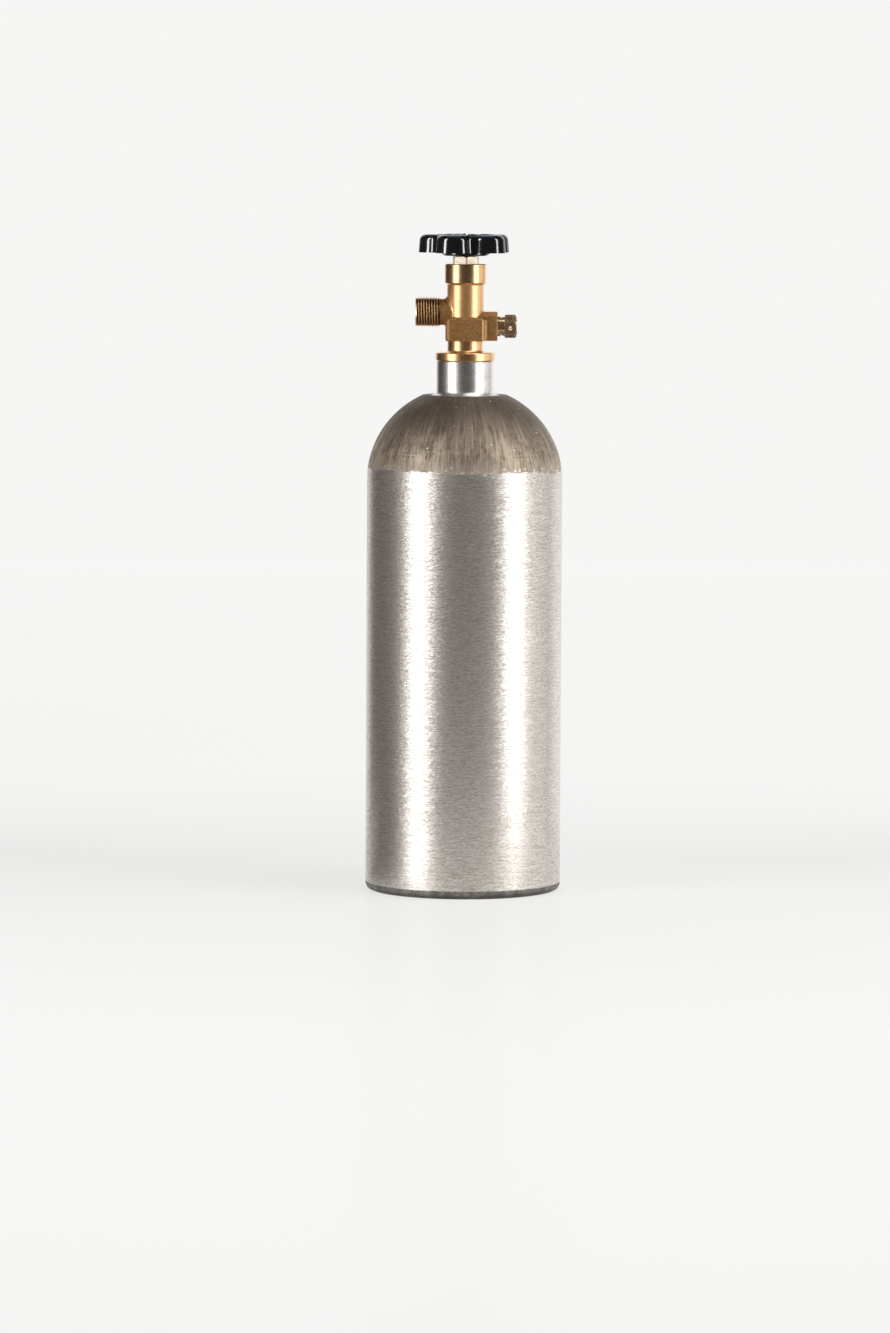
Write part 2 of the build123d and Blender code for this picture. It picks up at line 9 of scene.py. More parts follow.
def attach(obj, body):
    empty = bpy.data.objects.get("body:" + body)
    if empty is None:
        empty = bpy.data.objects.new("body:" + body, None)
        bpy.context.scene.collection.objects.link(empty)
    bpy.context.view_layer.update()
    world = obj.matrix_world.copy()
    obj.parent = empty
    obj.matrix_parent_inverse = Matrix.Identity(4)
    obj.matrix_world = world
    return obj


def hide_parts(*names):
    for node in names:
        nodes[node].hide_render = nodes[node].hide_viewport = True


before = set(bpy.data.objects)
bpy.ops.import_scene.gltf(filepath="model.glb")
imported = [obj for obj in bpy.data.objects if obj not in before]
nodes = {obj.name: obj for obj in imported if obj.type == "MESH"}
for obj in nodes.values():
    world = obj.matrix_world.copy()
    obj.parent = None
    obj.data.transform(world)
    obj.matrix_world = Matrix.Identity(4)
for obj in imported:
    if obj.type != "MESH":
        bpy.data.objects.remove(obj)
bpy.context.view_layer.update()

scene = bpy.context.scene
MM = 0.001

# ------------------------------------------------------------------ camera
# long lens, slightly above the valve, looking a little down
cam_data = bpy.data.cameras.new("camera")
cam_data.lens = 175.5
cam_data.sensor_width = 36.0
cam_data.clip_end = 60.0
camera = bpy.data.objects.new("camera", cam_data)
scene.collection.objects.link(camera)
camera.location = (-0.0003, -4.432, 0.543)
camera.rotation_mode = "XYZ"
pitch, yaw, roll = math.radians(5.033), math.radians(0.161), math.radians(0.28)
forward = Vector((-math.sin(yaw) * math.cos(pitch), math.cos(yaw) * math.cos(pitch), -math.sin(pitch)))
up = Vector((0, 0, 1))
right = forward.cross(up).normalized()
up = right.cross(forward).normalized()
# the frame is turned slightly, so the object's top leans to the right
r2 = right * math.cos(roll) + up * math.sin(roll)
u2 = up * math.cos(roll) - right * math.sin(roll)
from mathutils import Matrix

camera.rotation_euler = Matrix((r2, u2, -forward)).transposed().to_euler()
scene.camera = camera


# ------------------------------------------------------------------ node helpers
class Nodes:
    """Short hand for building a node material."""

    def __init__(self, name, **principled):
        self.mat = bpy.data.materials.new(name)
        self.mat.use_nodes = True
        self.t = self.mat.node_tree
        self.t.nodes.clear()
        self.out = self.t.nodes.new("ShaderNodeOutputMaterial")
        self.bsdf = self.t.nodes.new("ShaderNodeBsdfPrincipled")
        self.t.links.new(self.bsdf.outputs[0], self.out.inputs[0])
        for k, v in principled.items():
            key = k.replace("_", " ").title().replace("Ior", "IOR")
            self.bsdf.inputs[key].default_value = v
        self.coord = self.t.nodes.new("ShaderNodeTexCoord").outputs["Object"]

    def link(self, a, b):
        self.t.links.new(a, b)

    def _in(self, socket, value):
        if hasattr(value, "is_output"):
            self.link(value, socket)
        elif value is not None:
            socket.default_value = value

    def math(self, op, a, b=None, c=None, clamp=False):
        n = self.t.nodes.new("ShaderNodeMath")
        n.operation = op
        n.use_clamp = clamp
        for i, v in enumerate((a, b, c)):
            if v is not None:
                self._in(n.inputs[i], v)
        return n.outputs[0]

    def vmath(self, op, a, b=None):
        n = self.t.nodes.new("ShaderNodeVectorMath")
        n.operation = op
        self._in(n.inputs[0], a)
        if b is not None:
            self._in(n.inputs[1], b)
        return n.outputs["Value"] if op in ("LENGTH", "DOT_PRODUCT") else n.outputs[0]

    def xyz(self):
        n = self.t.nodes.new("ShaderNodeSeparateXYZ")
        self.link(self.coord, n.inputs[0])
        return n.outputs

    def combine(self, x, y, z):
        n = self.t.nodes.new("ShaderNodeCombineXYZ")
        for i, v in enumerate((x, y, z)):
            self._in(n.inputs[i], v)
        return n.outputs[0]

    def scaled(self, sx, sy, sz, vector=None):
        return self.vmath("MULTIPLY", vector or self.coord, (sx, sy, sz))

    def noise(self, vector, scale=1.0, detail=4.0, rough=0.55, distortion=0.0, w=0.0):
        n = self.t.nodes.new("ShaderNodeTexNoise")
        n.noise_dimensions = "3D"
        if w:
            vector = self.vmath("ADD", vector, (w, w * 1.7, -w))
        self.link(vector, n.inputs["Vector"])
        n.inputs["Scale"].default_value = scale
        n.inputs["Detail"].default_value = detail
        n.inputs["Roughness"].default_value = rough
        n.inputs["Distortion"].default_value = distortion
        return n.outputs[0]

    def voronoi(self, vector, scale, feature="F1", randomness=1.0):
        n = self.t.nodes.new("ShaderNodeTexVoronoi")
        n.feature = feature
        self.link(vector, n.inputs["Vector"])
        n.inputs["Scale"].default_value = scale
        n.inputs["Randomness"].default_value = randomness
        return n.outputs["Distance"]

    def ramp(self, value, lo, hi, a=0.0, b=1.0, smooth=True):
        n = self.t.nodes.new("ShaderNodeMapRange")
        n.interpolation_type = "SMOOTHSTEP" if smooth else "LINEAR"
        n.clamp = True if hasattr(n, "clamp") else None
        self._in(n.inputs["Value"], value)
        for k, v in (("From Min", lo), ("From Max", hi), ("To Min", a), ("To Max", b)):
            self._in(n.inputs[k], v)
        return n.outputs[0]

    def mix(self, factor, a, b, blend="MIX"):
        n = self.t.nodes.new("ShaderNodeMix")
        n.data_type = "RGBA"
        n.blend_type = blend
        self._in(n.inputs[0], factor)
        for i, v in ((6, a), (7, b)):
            if isinstance(v, (tuple, list)) and len(v) == 3:
                v = (*v, 1.0)
            self._in(n.inputs[i], v)
        return n.outputs[2]

    def bump(self, height, strength=0.3, distance=0.001, normal=None):
        n = self.t.nodes.new("ShaderNodeBump")
        n.inputs["Strength"].default_value = strength
        n.inputs["Distance"].default_value = distance
        self.link(height, n.inputs["Height"])
        if normal is not None:
            self.link(normal, n.inputs["Normal"])
        return n.outputs[0]

    def set(self, **kw):
        for k, v in kw.items():
            self._in(self.bsdf.inputs[k.replace("_", " ")], v if not (isinstance(v, tuple) and len(v) == 3) else (*v, 1.0))
        return self.mat


def radial_tangent(n, rotation):
    t = n.t.nodes.new("ShaderNodeTangent")
    t.direction_type = "RADIAL"
    t.axis = "Z"
    n.link(t.outputs[0], n.bsdf.inputs["Tangent"])
    n.bsdf.inputs["Anisotropic Rotation"].default_value = rotation


# ------------------------------------------------------------------ materials
def brushed_side():
    n = Nodes("brushed_aluminium", metallic=0.89, anisotropic=0.4)
    radial_tangent(n, 0.25)
    x, y, z = n.xyz()
    # short scratches that run round the cylinder: long in x and y, short in z
    coarse = n.noise(n.scaled(90, 90, 1300), 1.0, 2.0, 0.6)
    fine = n.noise(n.scaled(420, 420, 2300), 1.0, 2.0, 0.6, w=3.1)
    tilt = n.noise(n.scaled(360, 360, 2100), 1.0, 2.0, 0.6, w=7.7)
    blotch = n.noise(n.scaled(16, 16, 12), 1.0, 3.0, 0.5, w=1.3)
    mixv = n.math("ADD", n.math("MULTIPLY", coarse, 0.35), n.math("MULTIPLY", fine, 0.65))
    col = n.mix(n.ramp(mixv, 0.37, 0.63, smooth=False), (0.45, 0.408, 0.368), (0.93, 0.886, 0.842))
    col = n.mix(n.ramp(blotch, 0.35, 0.7, 0.0, 0.25), col, (0.66, 0.61, 0.56))
    rough = n.ramp(mixv, 0.34, 0.66, 0.42, 0.36)
    # the scratches also turn the surface a little to the left and right
    r = n.math("SQRT", n.math("ADD", n.math("MULTIPLY", x, x), n.math("MULTIPLY", y, y)))
    k = n.math("DIVIDE", n.math("MULTIPLY", n.math("SUBTRACT", tilt, 0.5), 0.30), r)
    side = n.combine(n.math("MULTIPLY", n.math("MULTIPLY", y, -1.0), k), n.math("MULTIPLY", x, k), 0.0)
    geo = n.t.nodes.new("ShaderNodeNewGeometry")
    normal = n.vmath("NORMALIZE", n.vmath("ADD", geo.outputs["Normal"], side))
    n.set(Base_Color=col, Roughness=rough, Normal=n.bump(fine, 0.1, 0.00006, normal))
    return n.mat


def raw_dome():
    n = Nodes("raw_dome_aluminium", metallic=0.6)
    x, y, z = n.xyz()
    r = n.math("SQRT", n.math("ADD", n.math("MULTIPLY", x, x), n.math("MULTIPLY", y, y)))
    cx, cy = n.math("DIVIDE", x, r), n.math("DIVIDE", y, r)

    # streaks run down the dome from neck to wall
    def streak(f, g, w, detail=3.0, distort=0.4):
        v = n.combine(n.math("MULTIPLY", cx, f), n.math("MULTIPLY", cy, f), n.math("MULTIPLY", z, g))
        return n.noise(v, 1.0, detail, 0.6, distort, w)

    wide = streak(9, 26, 0.0)
    mid = streak(30, 46, 2.0, 4.0, 0.8)
    fine = streak(75, 120, 5.0, 4.0, 0.8)
    patch = n.noise(n.scaled(75, 75, 95), 1.0, 4.0, 0.62, 0.5, 4.4)
    speck = n.noise(n.scaled(900, 900, 900), 1.0, 3.0, 0.6)
    parts = ((wide, 0.18), (mid, 0.26), (fine, 0.20), (patch, 0.25), (speck, 0.11))
    s = 0.0
    for v, k in parts:
        s = n.math("ADD", n.math("MULTIPLY", v, k), s)
    col = n.mix(n.ramp(s, 0.40, 0.60), (0.115, 0.086, 0.058), (0.52, 0.43, 0.33))
    # painted shade darkens the dome towards the neck; paler and rubbed near the wall
    wander = n.math("MULTIPLY", n.math("SUBTRACT", patch, 0.5), 0.03)
    zz = n.math("ADD", z, wander)
    # painted shade: darker towards the neck
    col = n.mix(n.ramp(zz, 0.300, 0.332, 0.0, 0.84), col, (0.098, 0.075, 0.056))
    col = n.mix(n.ramp(zz, 0.300, 0.289, 0.0, 0.35), col, (0.60, 0.53, 0.45))
    # bright nicks along the edge that the sanding reached
    nick = n.noise(n.scaled(260, 260, 420), 1.0, 4.0, 0.65, 0.4, 9.0)
    near = n.ramp(z, 0.2875, 0.2955, 1.0, 0.0)
    bright = n.ramp(n.math("ADD", nick, n.math("MULTIPLY", near, 0.13)), 0.67, 0.73)
    col = n.mix(bright, col, (0.84, 0.82, 0.79))
    # short rows of small punch dots round the shoulder
    turn = n.math("ARCTAN2", y, x)
    dots = 0.0
    for row, (level, per_turn, seed) in enumerate(((0.3018, 150, 3.0), (0.2992, 150, 11.0))):
        u = n.math("MULTIPLY", turn, per_turn / (2 * math.pi))
        cell = n.math("FLOOR", u)
        inside = n.math("SUBTRACT", n.math("FRACT", u), 0.5)
        white = n.t.nodes.new("ShaderNodeTexWhiteNoise")
        white.noise_dimensions = "2D"
        n.link(n.combine(cell, seed, 0.0), white.inputs["Vector"])
        group = n.t.nodes.new("ShaderNodeTexWhiteNoise")
        group.noise_dimensions = "2D"
        n.link(n.combine(n.math("FLOOR", n.math("DIVIDE", cell, 9.0)), 5.0, 0.0), group.inputs["Vector"])
        du = n.math("MULTIPLY", inside, 2 * math.pi * 0.064 / per_turn * 1000)
        dz = n.math("MULTIPLY", n.math("SUBTRACT", z, level), 1000.0)
        d = n.math("SQRT", n.math("ADD", n.math("MULTIPLY", du, du), n.math("MULTIPLY", dz, dz)))
        dot = n.ramp(d, 1.05, 0.55)
        dot = n.math("MULTIPLY", dot, n.math("GREATER_THAN", white.outputs["Value"], 0.4))
        dot = n.math("MULTIPLY", dot, n.math("GREATER_THAN", group.outputs["Value"], 0.45))
        dots = n.math("ADD", dot, dots)
    col = n.mix(n.math("MULTIPLY", dots, 0.45), col, (0.10, 0.08, 0.06))
    rough = n.ramp(s, 0.36, 0.62, 0.62, 0.5)
    rough = n.math("MULTIPLY", rough, n.ramp(bright, 0.0, 1.0, 1.0, 0.6))
    height = n.math("ADD", n.math("MULTIPLY", fine, 0.5), n.math("ADD", n.math("MULTIPLY", speck, 0.35), n.math("MULTIPLY", nick, 0.4)))
    height = n.math("SUBTRACT", height, n.math("MULTIPLY", dots, 0.9))
    n.set(Base_Color=col, Roughness=rough, Normal=n.bump(height, 0.5, 0.0003))
    return n.mat


def raw_base():
    n = Nodes("raw_base_aluminium", metallic=0.7)
    blot = n.noise(n.scaled(120, 120, 120), 1.0, 4.0, 0.6)
    fine = n.noise(n.scaled(700, 700, 700), 1.0, 3.0, 0.6, w=4.0)
    s = n.math("ADD", n.math("MULTIPLY", blot, 0.6), n.math("MULTIPLY", fine, 0.4))
    x, y, z = n.xyz()
    col = n.mix(n.ramp(s, 0.36, 0.64), (0.13, 0.123, 0.114), (0.27, 0.26, 0.245))
    # painted shade: darker towards the bottom edge, which faces down into shadow
    col = n.mix(n.ramp(z, 0.0042, 0.0008, 0.0, 0.8), col, (0.045, 0.036, 0.03))
    n.set(Base_Color=col, Roughness=n.ramp(s, 0.4, 0.6, 0.6, 0.45), Normal=n.bump(s, 0.4, 0.0002))
    return n.mat


def turned_aluminium():
    n = Nodes("turned_aluminium", metallic=1.0, anisotropic=0.3)
    radial_tangent(n, 0.25)
    lines = n.noise(n.scaled(30, 30, 2600), 1.0, 2.0, 0.5)
    smear = n.noise(n.scaled(160, 160, 420), 1.0, 3.0, 0.6, w=2.0)
    speck = n.noise(n.scaled(900, 900, 1100), 1.0, 2.0, 0.6, w=5.0)
    f = n.math("ADD", n.math("MULTIPLY", smear, 0.3), n.math("MULTIPLY", speck, 0.7))
    col = n.mix(n.ramp(f, 0.36, 0.66), (0.92, 0.91, 0.90), (0.68, 0.665, 0.65))
    n.set(Base_Color=col, Roughness=n.ramp(lines, 0.35, 0.65, 0.33, 0.38), Normal=n.bump(lines, 0.04, 0.00004))
    return n.mat


def brass(name, light, dark, rough_lo, rough_hi, tarnish=0.25, lines=True, coat=0.6):
    n = Nodes(name, metallic=0.95, coat_weight=coat, coat_roughness=0.3, coat_ior=1.9)
    if lines:
        tool = n.noise(n.scaled(14, 14, 3000), 1.0, 2.0, 0.5)
    else:
        tool = n.noise(n.scaled(600, 600, 600), 1.0, 2.0, 0.5)
    stain = n.noise(n.scaled(140, 140, 140), 1.0, 4.0, 0.6, 0.3, 1.9)
    speck = n.noise(n.scaled(900, 900, 900), 1.0, 2.0, 0.5, 0.0, 6.0)
    f = n.math("ADD", n.ramp(stain, 0.42, 0.72, 0.0, tarnish), n.ramp(speck, 0.55, 0.72, 0.0, tarnish * 0.8))
    col = n.mix(f, light, dark)
    rough = n.math("ADD", n.ramp(tool, 0.35, 0.65, rough_lo, rough_hi), n.math("MULTIPLY", f, 0.12))
    n.set(Base_Color=col, Roughness=rough, Normal=n.bump(n.math("ADD", n.math("MULTIPLY", tool, 0.4), n.math("MULTIPLY", speck, 0.6)), 0.12, 0.00005))
    return n.mat


def valve_brass():
    """Bright where it is turned to size, duller on the upper cylinder between collar and block."""
    n = Nodes("turned_brass", coat_weight=1.0, coat_roughness=0.3, coat_ior=2.1)
    x, y, z = n.xyz()
    tool = n.noise(n.scaled(14, 14, 3000), 1.0, 2.0, 0.5)
    stain = n.noise(n.scaled(140, 140, 140), 1.0, 4.0, 0.6, 0.3, 1.9)
    speck = n.noise(n.scaled(1100, 1100, 1100), 1.0, 2.0, 0.6, 0.0, 6.0)
    f = n.math("ADD", n.ramp(stain, 0.42, 0.72, 0.0, 0.25), n.ramp(speck, 0.52, 0.7, 0.0, 0.4))
    col = n.mix(f, (0.98, 0.56, 0.20), (0.56, 0.26, 0.07))
    dull = n.math("MULTIPLY", n.ramp(z, 0.3905, 0.3925), n.ramp(z, 0.4152, 0.4138))
    collar = n.ramp(z, 0.4145, 0.4155)
    rough = n.math("ADD", n.ramp(tool, 0.35, 0.65, 0.28, 0.33), n.math("SUBTRACT", n.math("MULTIPLY", dull, 0.06), n.math("MULTIPLY", collar, 0.06)))
    height = n.math("ADD", n.math("MULTIPLY", tool, 0.3), n.math("MULTIPLY", speck, n.math("ADD", 0.4, n.math("MULTIPLY", dull, 0.8))))
    metal = n.math("SUBTRACT", 1.0, n.math("MULTIPLY", dull, 0.12))
    n.set(Base_Color=col, Metallic=metal, Roughness=rough, Normal=n.bump(height, 0.14, 0.00005))
    return n.mat


def thread_brass():
    """Painted shade darkens the thread roots; the crests are bright brass; the outlet's axis is along X."""
    n = Nodes("thread_brass", metallic=1.0, coat_weight=0.4, coat_roughness=0.25, coat_ior=1.5)
    x, y, z = n.xyz()
    dz = n.math("SUBTRACT", z, 0.3952)
    r = n.math("SQRT", n.math("ADD", n.math("MULTIPLY", y, y), n.math("MULTIPLY", dz, dz)))
    speck = n.noise(n.scaled(700, 700, 700), 1.0, 3.0, 0.6)
    h = n.math("ADD", r, n.math("MULTIPLY", n.math("SUBTRACT", speck, 0.5), 0.00012))
    # painted shade in the thread roots, bright brass on the crests
    col = n.mix(n.ramp(h, 0.00938, 0.0098), (0.10, 0.035, 0.010), (1.0, 0.72, 0.47))
    n.set(Base_Color=col, Roughness=n.ramp(speck, 0.35, 0.65, 0.28, 0.34), Normal=n.bump(speck, 0.05, 0.00005))
    return n.mat


def nut_brass():
    """Light, finely milled flats with painted shade along the corners."""
    n = Nodes("nut_brass", metallic=0.95, coat_weight=0.2, coat_roughness=0.4, coat_ior=1.5)
    x, y, z = n.xyz()
    r = n.math("SQRT", n.math("ADD", n.math("MULTIPLY", x, x), n.math("MULTIPLY", y, y)))
    speck = n.noise(n.scaled(900, 900, 900), 1.0, 3.0, 0.6)
    mill = n.noise(n.scaled(200, 200, 2600), 1.0, 2.0, 0.5, w=2.0)
    col = n.mix(n.ramp(speck, 0.4, 0.7), (0.74, 0.66, 0.55), (0.60, 0.50, 0.38))
    # painted shade: a darker band near the corners of the hex
    col = n.mix(n.math("MULTIPLY", n.ramp(r, 0.00935, 0.0097), n.ramp(r, 0.0101, 0.0099)), col, (0.30, 0.19, 0.12))
    n.set(Base_Color=col, Roughness=n.ramp(mill, 0.35, 0.65, 0.42, 0.5), Normal=n.bump(mill, 0.08, 0.00004))
    return n.mat


def forged_brass():
    n = Nodes("forged_brass_skin", metallic=0.7)
    grit = n.noise(n.scaled(1500, 1500, 1500), 1.0, 3.0, 0.65)
    blot = n.noise(n.scaled(800, 800, 800), 1.0, 3.0, 0.6, 0.2, 3.3)
    pit = n.voronoi(n.coord, 1700)
    s = n.math("ADD", n.math("MULTIPLY", grit, 0.65), n.math("MULTIPLY", blot, 0.35))
    col = n.mix(n.ramp(s, 0.36, 0.64), (0.24, 0.112, 0.035), (0.58, 0.32, 0.125))
    col = n.mix(n.ramp(grit, 0.64, 0.76, 0.0, 0.35), col, (0.86, 0.62, 0.34))
    # painted highlight: the block's upright corners are lightened where their small rounded edges catch the
    # softboxes
    x, y, z = n.xyz()
    corner = n.math("ADD", n.math("ABSOLUTE", x), n.math("ABSOLUTE", y))
    corner_highlight = n.math("MULTIPLY", n.ramp(n.math("ADD", corner, n.math("MULTIPLY", grit, 0.0006)), 0.0250, 0.0262), n.ramp(n.math("ABSOLUTE", x), 0.0145, 0.0135))
    col = n.mix(n.math("MULTIPLY", corner_highlight, 0.8), col, (0.95, 0.70, 0.42))
    rough = n.math("MULTIPLY", n.ramp(s, 0.4, 0.6, 0.52, 0.42), n.ramp(corner_highlight, 0.0, 1.0, 1.0, 0.75))
    height = n.math("ADD", n.math("MULTIPLY", grit, 0.6), n.math("MULTIPLY", pit, 0.5))
    n.set(Base_Color=col, Roughness=rough, Normal=n.bump(height, 0.3, 0.00025))
    return n.mat


def black_plastic():
    n = Nodes("gloss_black_plastic", ior=1.5)
    wave = n.noise(n.scaled(70, 70, 70), 1.0, 2.0, 0.5)
    fine = n.noise(n.scaled(1800, 1800, 1800), 1.0, 2.0, 0.5, w=2.0)
    scuff = n.noise(n.scaled(300, 300, 90), 1.0, 4.0, 0.7, 0.5, 8.0)
    col = n.mix(n.ramp(scuff, 0.6, 0.8, 0.0, 0.5), (0.004, 0.0045, 0.0055), (0.010, 0.010, 0.012))
    rough = n.math("ADD", n.ramp(scuff, 0.5, 0.8, 0.12, 0.24), n.math("MULTIPLY", fine, 0.02))
    n.set(Base_Color=col, Roughness=rough, Normal=n.bump(n.math("ADD", wave, n.math("MULTIPLY", fine, 0.03)), 0.08, 0.0006))
    return n.mat


def plain(name, colour, rough, metallic=0.0, vary=0.12, bump=0.15, scale=500):
    n = Nodes(name, metallic=metallic)
    a = n.noise(n.scaled(scale, scale, scale), 1.0, 3.0, 0.6)
    b = n.noise(n.scaled(scale * 0.15, scale * 0.15, scale * 0.15), 1.0, 3.0, 0.6, w=3.0)
    f = n.math("ADD", n.math("MULTIPLY", a, 0.5), n.math("MULTIPLY", b, 0.5))
    lo = tuple(c * (1 - vary) for c in colour)
    hi = tuple(min(1.0, c * (1 + vary)) for c in colour)
    n.set(Base_Color=n.mix(n.ramp(f, 0.35, 0.65), lo, hi), Roughness=n.ramp(f, 0.35, 0.65, rough * 1.15, rough * 0.85), Normal=n.bump(a, bump, 0.0001))
    return n.mat


M = {
    "side": brushed_side(),
    "dome": raw_dome(),
    "base": raw_base(),
    "neck": turned_aluminium(),
    "brass": valve_brass(),
    "brass_bright": brass("bright_brass", (0.84, 0.76, 0.66), (0.60, 0.44, 0.30), 0.26, 0.34, 0.35),
    "brass_plug": brass("plug_brass", (1.0, 0.74, 0.46), (0.38, 0.19, 0.08), 0.13, 0.23, 0.5, lines=False),
    "forged": forged_brass(),
    "thread": thread_brass(),
    "nut": nut_brass(),
    "plastic": black_plastic(),
    "rubber": plain("black_rubber", (0.02, 0.02, 0.02), 0.6),
    "nylon": plain("white_nylon", (0.82, 0.81, 0.76), 0.42, vary=0.05),
    "blue": plain("blue_nylon", (0.05, 0.12, 0.42), 0.4),
    "zinc": plain("zinc_plated_steel", (0.72, 0.72, 0.74), 0.24, metallic=1.0),
    "spring": plain("spring_steel", (0.55, 0.55, 0.56), 0.3, metallic=1.0),
    "nickel": plain("nickel_foil", (0.7, 0.68, 0.62), 0.25, metallic=1.0),
    "copper": plain("annealed_copper", (0.78, 0.42, 0.28), 0.35, metallic=1.0),
}


# ------------------------------------------------------------------ mesh helpers
def new_object(name, verts, faces, mats, indices=None, sharp=35.0):
    me = bpy.data.meshes.new(name)
    me.from_pydata([tuple(float(c) for c in v) for v in verts], [], faces)
    me.validate()
    for m in mats:
        me.materials.append(m)
    if indices is not None:
        me.polygons.foreach_set("material_index", np.asarray(indices, dtype=np.int32))
    me.polygons.foreach_set("use_smooth", np.ones(len(me.polygons), dtype=bool))
    me.update()
    me.set_sharp_from_angle(angle=math.radians(sharp))
    o = bpy.data.objects.new(name, me)
    scene.collection.objects.link(o)
    return o


def arc3(a, m, b, n):
    """n points of the circle through a, m and b, from a to b."""
    ax, ay, mx, my, bx, by = *a, *m, *b
    d = 2 * (ax * (my - by) + mx * (by - ay) + bx * (ay - my))
    ux = ((ax**2 + ay**2) * (my - by) + (mx**2 + my**2) * (by - ay) + (bx**2 + by**2) * (ay - my)) / d
    uy = ((ax**2 + ay**2) * (bx - mx) + (mx**2 + my**2) * (ax - bx) + (bx**2 + by**2) * (mx - ax)) / d
    r = math.hypot(ax - ux, ay - uy)
    t0, tm, t1 = (math.atan2(q - uy, p - ux) for p, q in (a, m, b))

    def unwrap(t, ref):
        while t - ref > math.pi:
            t -= 2 * math.pi
        while t - ref < -math.pi:
            t += 2 * math.pi
        return t

    tm = unwrap(tm, t0)
    t1 = unwrap(t1, tm)
    return [(ux + r * math.cos(t0 + (t1 - t0) * i / (n - 1)), uy + r * math.sin(t0 + (t1 - t0) * i / (n - 1))) for i in range(n)]


def soften(points, radii, n=5):
    """Replaces the named corners of a polyline with small arcs."""
    out = []
    for i, p in enumerate(points):
        rad = radii.get(i)
        if not rad:
            out.append(p)
            continue
        a, b = np.array(points[i - 1], float), np.array(points[i + 1], float)
        c = np.array(p, float)
        u, v = (a - c) / np.linalg.norm(a - c), (b - c) / np.linalg.norm(b - c)
        half = math.acos(max(-1, min(1, float(u @ v)))) / 2
        cut = min(rad / math.tan(half), np.linalg.norm(a - c) * 0.45, np.linalg.norm(b - c) * 0.45)
        rad = cut * math.tan(half)
        p0, p1 = c + u * cut, c + v * cut
        m = (u + v) / np.linalg.norm(u + v)
        centre = c + m * (rad / math.sin(half))
        mid = centre - m * rad
        out += arc3(tuple(p0), tuple(mid), tuple(p1), n)
    return out


